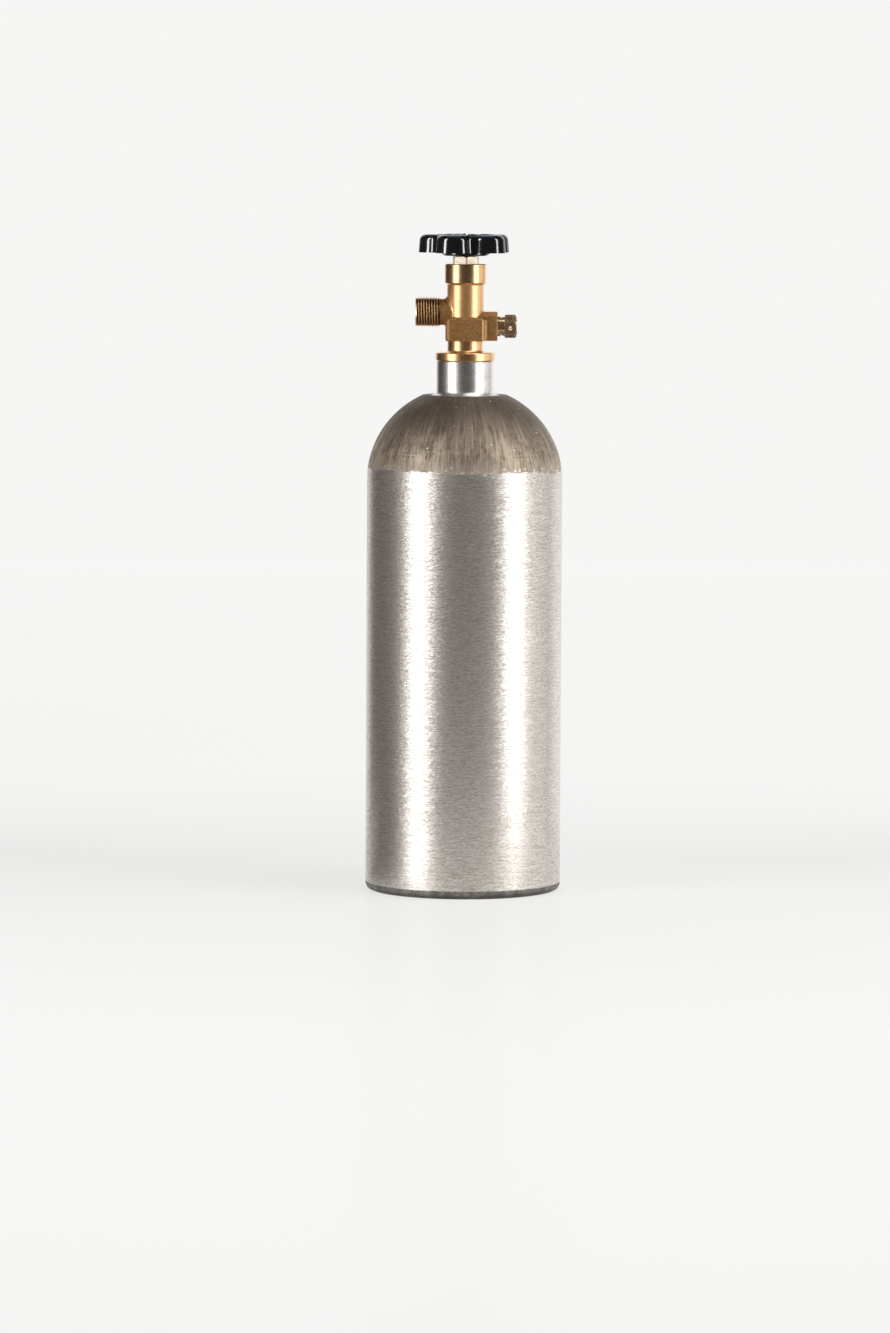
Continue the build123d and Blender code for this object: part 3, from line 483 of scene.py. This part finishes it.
# ------------------------------------------------------------------ cylinder shell
def shell():
    R, RI, DZ = 66.675, 60.275, 281.0
    segs = 720
    low = arc3((0, 3.0), (45 * 0.52, 3.0 * 0.74), (45, 0), 12)[:-1]
    low += soften([(44.6, 0.03), (45, 0), (63.3, 0), (64.2, 0.45)], {1: 0.25, 2: 0.5})[1:-1]
    edge = arc3((63.3, 0), (65.85, 1.85), (R, 4.8), 12)[3:]
    low += edge
    wall = [(R, z) for z in (5.6, 8, 14, 30, 60, 100, 150, 200, 240, 270, 278, DZ)]
    t_end = math.acos(28.82 / R)
    dome = [(R * math.cos(t_end * i / 90), DZ + 64.1 * math.sin(t_end * i / 90)) for i in range(1, 91)]
    top = soften([dome[-2], dome[-1], (23.15, 338.8)], {1: 0.6}, 6)[1:-1]
    dome = dome[:-1]
    neck = arc3((23.15, 338.8), (20.6, 339.85), (19.55, 342.4), 10)
    neck += soften([(19.55, 350), (19.55, 361.45), (18.8, 362.2), (17.3, 362.2), (17.3, 359.3), (15.15, 359.3), (14.35, 358.5), (14.35, 350.0)], {1: 0.25, 2: 0.25, 3: 0.15}, 4)
    inner_top = DZ + 54 * math.sqrt(1 - (14.35 / RI) ** 2)
    neck.append((14.35, inner_top))
    inside = [(RI * math.cos(a), DZ + 54 * math.sin(a)) for a in np.linspace(math.acos(14.35 / RI), 0, 40)[1:]]
    inside += [(RI, 200), (RI, 100), (RI, 26)]
    inside += [(RI - 14 + 14 * math.cos(a), 26 - 14 * math.sin(a)) for a in np.linspace(0, math.pi / 2, 10)[1:]]
    profile = low + wall + dome + top + neck + inside
    # height of the sanded edge round the cylinder, in mm; it wanders and has nicks
    th = np.linspace(0, 2 * math.pi, segs, endpoint=False)

    def edge_height(t):
        c, s = math.cos(t), math.sin(t)
        h = 288.4 + 1.5 * noise.noise(Vector((c * 1.6, s * 1.6, 0.3)))
        h += 1.3 * noise.noise(Vector((c * 7, s * 7, 4.0))) + 0.8 * noise.noise(Vector((c * 30, s * 30, 9.0)))
        h += 0.5 * noise.noise(Vector((c * 90, s * 90, 2.0)))
        return h

    heights = np.array([edge_height(t) for t in th])
    prof = np.array(profile)
    kinds = []  # 0 side, 1 dome, 2 base, 3 neck
    i_edge = None
    for i, (r, z) in enumerate(profile):
        if i < len(low):
            kinds.append(2)
        elif i < len(low) + len(wall) + len(dome):
            kinds.append(0 if z < 288.4 else 1)
        elif i < len(low) + len(wall) + len(dome) + len(top):
            kinds.append(1)
        else:
            kinds.append(3)
    kinds = np.array(kinds)
    i_edge = int(np.argmax(kinds == 1))
    n = len(profile)
    ring_z = np.repeat(prof[:, 1][:, None], segs, 1)
    ring_r = np.repeat(prof[:, 0][:, None], segs, 1)
    # bend the rings near the edge so that one of them follows it
    z_edge = prof[i_edge, 1]
    for i in range(len(low) + len(wall) - 4, i_edge + 14):
        w = max(0.0, 1 - abs(prof[i, 1] - z_edge) / 12.0)
        w = w * w * (3 - 2 * w)
        if prof[i, 1] >= DZ - 0.01 or w > 0:
            z = prof[i, 1] + (heights - z_edge) * w
            ring_z[i] = z
            ring_r[i] = np.where(z <= DZ, R, R * np.sqrt(np.clip(1 - ((z - DZ) / 64.1) ** 2, 0, 1)))
    verts = [(0, 0, profile[0][1])]
    cos, sin = np.cos(th), np.sin(th)
    for i in range(1, n):
        verts += list(zip(ring_r[i] * cos, ring_r[i] * sin, ring_z[i]))
    verts.append((0, 0, 12.0))
    faces, idx = [], []
    for j in range(segs):
        faces.append((0, 1 + (j + 1) % segs, 1 + j))
        idx.append(2)
    for i in range(1, n - 1):
        a, b = 1 + (i - 1) * segs, 1 + i * segs
        k = kinds[i] if i + 1 < len(kinds) else 3
        if i == i_edge - 1:
            k = 0
        for j in range(segs):
            jj = (j + 1) % segs
            faces.append((a + j, a + jj, b + jj, b + j))
            idx.append(k)
    a = 1 + (n - 2) * segs
    last = len(verts) - 1
    for j in range(segs):
        faces.append((a + j, a + (j + 1) % segs, last))
        idx.append(3)
    verts = np.maximum(np.array(verts) * MM * (0.99982, 0.99982, 1.0), (-1, -1, 0.0))
    o = new_object("cylinder_shell_skin", verts, faces, [M["side"], M["dome"], M["base"], M["neck"]], idx, 40)
    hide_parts("cylinder_shell")
    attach(o, "cylinder")
    return o


shell_obj = shell()


# ------------------------------------------------------------------ valve body with a true helical outlet thread
def thread_profile(phase):
    """Depth below the crest as a share of thread height, over one pitch (phase 0 to 1, crest in the middle)."""
    p = abs(phase - 0.5) * 2  # 0 at crest centre, 1 at root centre
    crest, root = 0.125, 0.25
    d = (p - crest) / (1 - crest - root)
    d = min(1.0, max(0.0, d))
    return d


def outlet_thread():
    z0, R, P = 395.2, 10.4775, 25.4 / 14
    h = 0.6134 * P
    x0, x1 = 17.3, 34.0
    segs, step = 180, 0.075
    xs = list(np.arange(x0, x1 - 0.02, step)) + [x1 - 0.02]
    th = np.linspace(0, 2 * math.pi, segs, endpoint=False)
    verts, faces = [], []
    rings = []

    def ring(pts):
        start = len(verts)
        verts.extend(pts)
        rings.append(start)

    def at(x, r):
        # outward direction is -X; angle measured so that the thread is right handed
        return [(-x, rr * math.cos(t), z0 + rr * math.sin(t)) for rr, t in zip(r, th)]

    ring(at(x0, np.full(segs, 3.5)))
    ring(at(x0, np.full(segs, R - h)))
    for x in xs:
        r = []
        for t in th:
            ph = ((x - x0) / P + t / (2 * math.pi)) % 1.0
            rr = R - h * thread_profile(ph)
            # run-out into the relief, and chamfer at the open end
            run = (x - x0 - 0.25) / 1.0
            rr = (R - h) + (rr - (R - h)) * min(1.0, max(0.0, run))
            cap = R - max(0.0, (x - (x1 - 1.5))) * 0.62
            r.append(min(rr, cap))
        ring(at(x, np.array(r)))
    end_r = R - 1.5 * 0.62 - 0.05
    ring(at(x1, np.minimum(np.full(segs, end_r - 0.12), np.full(segs, 99))))
    for rr, xx in ((4.5, x1), (4.3, x1 - 0.02), (3.52, x1 - 0.8), (3.5, x1 - 1.0)):
        ring(at(xx, np.full(segs, rr)))
    m = len(rings)
    for k in range(m):
        a, b = rings[k], rings[(k + 1) % m]
        for j in range(segs):
            jj = (j + 1) % segs
            faces.append((a + j, a + jj, b + jj, b + j))
    return np.array(verts) * MM, faces


def copy_normals(src, dst):
    """Gives each corner of dst the smooth normal that src has at that place on the same side."""
    co = np.empty(len(src.vertices) * 3, dtype=np.float32)
    src.vertices.foreach_get("co", co)
    co = co.reshape(-1, 3)
    cn = np.empty(len(src.loops) * 3, dtype=np.float32)
    src.corner_normals.foreach_get("vector", cn)
    cn = cn.reshape(-1, 3)
    table = {}
    for poly in src.polygons:
        fn = poly.normal
        for li in poly.loop_indices:
            v = co[src.loops[li].vertex_index]
            key = tuple(np.round(v * 1e5).astype(int))
            table.setdefault(key, []).append((np.array(fn), cn[li]))
    out = []
    for poly in dst.polygons:
        fn = np.array(poly.normal)
        for li in poly.loop_indices:
            v = np.array(dst.vertices[dst.loops[li].vertex_index].co)
            found = table.get(tuple(np.round(v * 1e5).astype(int)))
            best = fn
            if found:
                f, c = max(found, key=lambda q: float(q[0] @ fn))
                if float(c @ fn) > 0.5:
                    best = c
            out.append(tuple(float(q) for q in best))
    dst.normals_split_custom_set(out)


def valve():
    src = nodes["valve_body"]
    me = src.data.copy()
    me.name = "valve_body_skin"
    bm = bmesh.new()
    bm.from_mesh(me)
    bmesh.ops.remove_doubles(bm, verts=bm.verts, dist=1e-6)
    cut = -17.3 * MM
    # only the outlet is cut, not the flange below it
    part = [f for f in bm.faces if min(v.co.z for v in f.verts) > 0.380]
    geom = list({v for f in part for v in f.verts}) + list({e for f in part for e in f.edges}) + part
    bmesh.ops.bisect_plane(bm, geom=geom, plane_co=(cut, 0, 0), plane_no=(-1, 0, 0), clear_outer=True, dist=1e-7)
    rim = [e for e in bm.edges if e.is_boundary and all(abs(v.co.x - cut) < 1e-5 for v in e.verts)]
    bmesh.ops.bridge_loops(bm, edges=rim)
    # smooth shading, and the forged finish on the faces of the block, boss and outlet root; the imported surface's
    # own creases come back through copy_normals below
    for f in bm.faces:
        f.smooth = True
        c = f.calc_center_median() / MM
        nrm = f.normal
        r = math.hypot(c.x, c.y)
        f.material_index = 0
        radial = abs(nrm.z) < 0.3 and r > 1 and abs((c.x * nrm.x + c.y * nrm.y) / r) > 0.97
        forged = False
        if 375.0 < c.z < 396.5 and not (c.z > 391.9 and radial and r < 12.9):
            forged = r > 12.4 or c.x > 12.5 or c.x < -12.5
        if c.x < -9.5 and abs(c.z - 395.2) < 12 and not (radial and r < 12.72):
            forged = True
        if r < 9 and c.x > -12 and c.x < 12:
            forged = False
        if forged:
            f.material_index = 1
    bm.normal_update()
    me.materials.clear()
    for key in ("brass", "forged", "thread"):
        me.materials.append(M[key])
    bm.to_mesh(me)
    bm.free()
    copy_normals(src.data, me)
    body = bpy.data.objects.new("valve_body_skin", me)
    scene.collection.objects.link(body)
    tv, tf = outlet_thread()
    thread = new_object("outlet_thread_skin", tv, tf, [M["thread"]], None, 28)
    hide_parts("valve_body")
    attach(body, "cylinder")
    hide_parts("valve_body")
    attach(thread, "cylinder")
    return body, thread


valve_obj, thread_obj = valve()


# ------------------------------------------------------------------ the other pieces keep their CAD shape
def dress(node, *mats):
    o = nodes[node]
    o.data.materials.clear()
    for m in mats:
        o.data.materials.append(M[m])


for node, mat in {
    "neck_o_ring": "rubber",
    "seat_plug": "brass_bright",
    "seat_disc": "nylon",
    "valve_stem": "brass_bright",
    "stem_o_ring": "rubber",
    "stem_backup_ring": "nylon",
    "stem_thrust_washer": "nylon",
    "gland_nut": "nut",
    "handwheel": "plastic",
    "handwheel_insert": "brass_bright",
    "handwheel_spring": "spring",
    "spring_retainer_washer": "zinc",
    "handwheel_locknut": "zinc",
    "locknut_nylon_ring": "blue",
    "safety_plug": "brass_plug",
    "burst_disc": "nickel",
    "burst_disc_gasket": "copper",
}.items():
    dress(node, mat)


# ------------------------------------------------------------------ stage and lights
def plane(name, corners, mat):
    me = bpy.data.meshes.new(name)
    me.from_pydata([tuple(c) for c in corners], [], [(0, 1, 2, 3)])
    me.materials.append(mat)
    o = bpy.data.objects.new(name, me)
    scene.collection.objects.link(o)
    return o


def glow(name, colour, emission, albedo):
    m = bpy.data.materials.new(name)
    m.use_nodes = True
    t = m.node_tree
    t.nodes.clear()
    out = t.nodes.new("ShaderNodeOutputMaterial")
    e = t.nodes.new("ShaderNodeEmission")
    e.inputs[0].default_value = (*colour, 1)
    e.inputs[1].default_value = emission
    d = t.nodes.new("ShaderNodeBsdfDiffuse")
    d.inputs[0].default_value = (albedo, albedo, albedo, 1)
    a = t.nodes.new("ShaderNodeAddShader")
    t.links.new(e.outputs[0], a.inputs[0])
    t.links.new(d.outputs[0], a.inputs[1])
    t.links.new(a.outputs[0], out.inputs[0])
    return m


wall_mat = glow("stage_wall", (1.0, 0.997, 0.99), 0.915, 0.0)


def floor_material():
    """Pale paper that glows, with painted shade: the glow dips in a soft band just behind the object, where real
    paper would curve up.
    """
    m = bpy.data.materials.new("stage_floor")
    m.use_nodes = True
    t = m.node_tree
    t.nodes.clear()
    out = t.nodes.new("ShaderNodeOutputMaterial")
    e = t.nodes.new("ShaderNodeEmission")
    d = t.nodes.new("ShaderNodeBsdfDiffuse")
    d.inputs[0].default_value = (FLOOR_ALBEDO, FLOOR_ALBEDO, FLOOR_ALBEDO, 1)
    a = t.nodes.new("ShaderNodeAddShader")
    c = t.nodes.new("ShaderNodeTexCoord")
    sep = t.nodes.new("ShaderNodeSeparateXYZ")
    t.links.new(c.outputs["Object"], sep.inputs[0])
    mr = t.nodes.new("ShaderNodeMapRange")
    mr.inputs["From Min"].default_value = -2.4
    mr.inputs["From Max"].default_value = 3.2
    t.links.new(sep.outputs[1], mr.inputs["Value"])
    ramp = t.nodes.new("ShaderNodeValToRGB")
    t.links.new(mr.outputs[0], ramp.inputs[0])
    el = ramp.color_ramp.elements
    while len(el) > 1:
        el.remove(el[-1])
    for i, (y, v) in enumerate(FLOOR_GLOW_AND_PAINTED_SHADE):
        pos = (y + 2.4) / 5.6
        if i == 0:
            el[0].position = pos
            el[0].color = (v, v, v, 1)
        else:
            k = el.new(pos)
            k.color = (v, v * 0.998, v * 0.992, 1)
    t.links.new(ramp.outputs[0], e.inputs[0])
    e.inputs[1].default_value = 1.0
    t.links.new(e.outputs[0], a.inputs[0])
    t.links.new(d.outputs[0], a.inputs[1])
    # a faint sheen that shows the foot of the object
    g = t.nodes.new("ShaderNodeBsdfGlossy")
    g.inputs["Color"].default_value = (FLOOR_SHEEN, FLOOR_SHEEN, FLOOR_SHEEN, 1)
    g.inputs["Roughness"].default_value = 0.27
    b = t.nodes.new("ShaderNodeAddShader")
    t.links.new(a.outputs[0], b.inputs[0])
    t.links.new(g.outputs[0], b.inputs[1])
    t.links.new(b.outputs[0], out.inputs[0])
    return m


FLOOR_SHEEN = 0.035
FLOOR_ALBEDO = 0.2
# painted shade: the glow falls from the front towards the object, is lowest just behind it and rises again towards
# the back
FLOOR_GLOW_AND_PAINTED_SHADE = [(-2.4, 0.818), (-1.4, 0.787), (-0.7, 0.739), (-0.35, 0.709), (-0.1, 0.688), (0.2, 0.664), (0.45, 0.715), (0.75, 0.757), (1.5, 0.780), (1.95, 0.781), (2.55, 0.779), (3.2, 0.787)]
floor = plane("floor", [(-3, -2.4, 0), (3, -2.4, 0), (3, 3.09, 0), (-3, 3.09, 0)], floor_material())
floor.visible_glossy = False
floor.visible_shadow = False
back = plane("backdrop", [(-3, 3.2, 0), (3, 3.2, 0), (3, 3.2, 4), (-3, 3.2, 4)], wall_mat)
back.visible_glossy = False
back.visible_camera = False
# the pale room behind it, seen by the camera alone, so that the object can be looked at from any side
room_mat = glow("stage_room", (1.0, 0.997, 0.99), 0.922, 0.0)
room_mat.cycles.emission_sampling = "NONE"
Q = 6.6
room = [plane("room_floor", [(-Q, -Q, -0.002), (Q, -Q, -0.002), (Q, Q, -0.002), (-Q, Q, -0.002)], room_mat)]
for name, (ax, ay), (bx, by) in (("room_back", (-Q, Q), (Q, Q)), ("room_front", (-Q, -Q), (Q, -Q)), ("room_left", (-Q, -Q), (-Q, Q)), ("room_right", (Q, -Q), (Q, Q))):
    room.append(plane(name, [(ax, ay, -0.002), (bx, by, -0.002), (bx, by, 7), (ax, ay, 7)], room_mat))
for o in room:
    o.visible_diffuse = False
    o.visible_glossy = False
    o.visible_transmission = False
    o.visible_shadow = False
# what the metal sees behind itself, and the floor close to the base
seen = plane("backdrop_seen", [(-2.2, 3.1, -1.5), (4.7, 3.1, -1.5), (4.7, 3.1, 3), (-2.2, 3.1, 3)], glow("seen_wall", (1.0, 0.997, 0.99), 1.04, 0.0))
seen_floor = glow("seen_floor", (1.0, 0.98, 0.96), 0.75, 0.0)
near = plane("floor_seen", [(-0.1, -0.36, -0.001), (0.34, -0.36, -0.001), (0.34, 0.3, -0.001), (-0.1, 0.3, -0.001)], seen_floor)
rear = plane("floor_seen_left", [(-0.34, 0.1, -0.001), (-0.1, 0.1, -0.001), (-0.1, 0.3, -0.001), (-0.34, 0.3, -0.001)], seen_floor)
for o in (seen, near, rear):
    o.visible_camera = False
    o.visible_diffuse = False
    o.visible_shadow = False


def softbox(name, azimuth, distance, width, height, z, radiance, colour=(1, 1, 1)):
    """azimuth is measured from the camera's side towards +X."""
    a = math.radians(azimuth)
    data = bpy.data.lights.new(name, "AREA")
    data.shape = "RECTANGLE"
    data.size = width
    data.size_y = height
    data.energy = radiance * math.pi * width * height
    data.color = colour
    o = bpy.data.objects.new(name, data)
    scene.collection.objects.link(o)
    o.location = (math.sin(a) * distance, -math.cos(a) * distance, z)
    d = Vector((0, 0, z)) - Vector(o.location)
    o.rotation_euler = d.to_track_quat("-Z", "Y").to_euler()
    return o


def share(light, objects, state):
    """Lights only these objects (INCLUDE), or all but these (EXCLUDE)."""
    c = bpy.data.collections.new("lit_" + light.name)
    for o in objects:
        c.objects.link(o)
    light.light_linking.receiver_collection = c
    for co in c.collection_objects:
        co.light_linking.link_state = state


wheel = [nodes["handwheel"]]
for args in (("softbox_left", -54, 1.5, 0.735, 2.4, 0.8, 3.3), ("softbox_right", 61.6, 1.5, 0.69, 2.4, 0.8, 3.3), ("card_right", 98, 1.7, 1.05, 2.4, 0.8, 0.8)):
    share(softbox(*args), wheel, "EXCLUDE")
# the wheel's gloss shows narrow strips of the same two softboxes
for args in (("strip_left", -59, 1.5, 0.34, 2.0, 0.8, 24), ("strip_right", 66, 1.5, 0.26, 2.0, 0.8, 20)):
    share(softbox(*args), wheel, "INCLUDE")
top = softbox("softbox_top", 60, 0.9, 1.4, 1.4, 2.2, 2.6, (1.0, 0.98, 0.95))
top.rotation_euler = (Vector((0, 0, 0.35)) - Vector(top.location)).to_track_quat("-Z", "Y").to_euler()
share(top, wheel, "EXCLUDE")
sky = softbox("softbox_sky", 180, 0.6, 1.6, 1.2, 2.4, 1.5, (0.42, 0.72, 1.0))
sky.rotation_euler = (0, 0, 0)
share(sky, wheel, "INCLUDE")

world = bpy.data.worlds.new("studio")
scene.world = world
world.use_nodes = True
world.node_tree.nodes["Background"].inputs[0].default_value = (1.0, 0.84, 0.70, 1)
world.node_tree.nodes["Background"].inputs[1].default_value = 0.059

scene.view_settings.view_transform = "Standard"
scene.view_settings.look = "None"
